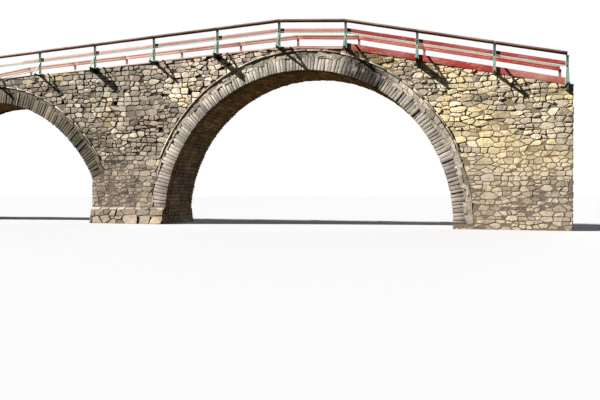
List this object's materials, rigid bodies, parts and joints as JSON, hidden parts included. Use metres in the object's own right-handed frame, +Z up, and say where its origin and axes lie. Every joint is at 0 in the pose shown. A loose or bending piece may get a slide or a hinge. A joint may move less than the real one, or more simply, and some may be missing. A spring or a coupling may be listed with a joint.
{
  "type": "stone arch bridge",
  "caption": "Narrow humped stone bridge with a round and a segmental arch, a battered pier footing, a paved deck, and braced steel railings with worn red boards.",
  "frame": {"origin": "middle of the pier between the two arches, on the level it stands on, half way across the width", "axes": "+X along the bridge towards the round main arch, +Y across it away from the viewer, +Z up"},
  "size_m": [32.8, 2.9, 7.5794],
  "materials": {
    "rubble_stone": "rough",
    "footing_stone": "rough",
    "fill_stone": "rough",
    "soffit_stone": "rough",
    "arch_stone": "rough",
    "string_stone": "rough",
    "paving_stone": "rough",
    "green_steel": "worn matt",
    "pale_steel": "worn matt",
    "handrail_wood": "worn matt",
    "red_wood": "worn matt"
  },
  "bodies": {
    "root": {"pier": "rubble_stone", "pier_footing": "footing_stone", "left_abutment": "rubble_stone", "right_abutment": "rubble_stone", "main_barrel": "soffit_stone", "side_barrel": "soffit_stone", "main_ring_front": "arch_stone", "main_ring_back": "arch_stone", "side_ring_front": "arch_stone", "side_ring_back": "arch_stone", "main_string_front": "string_stone", "main_string_back": "string_stone", "side_string_front": "string_stone", "side_string_back": "string_stone", "left_spandrel_front": "rubble_stone", "left_spandrel_back": "rubble_stone", "middle_spandrel_front": "rubble_stone", "middle_spandrel_back": "rubble_stone", "right_spandrel_front": "rubble_stone", "right_spandrel_back": "rubble_stone", "fill": "fill_stone", "deck_paving": "paving_stone", "deck_beams": "green_steel", "posts_front": "green_steel", "posts_back": "green_steel", "braces_front": "green_steel", "braces_back": "green_steel", "handrail_front": "handrail_wood", "handrail_back": "handrail_wood", "upper_boards_front": "red_wood", "upper_boards_back": "red_wood", "rail_bars_front": "pale_steel", "rail_bars_back": "pale_steel", "toe_boards_front": "red_wood", "toe_boards_back": "red_wood"}
  },
  "joints": []
}
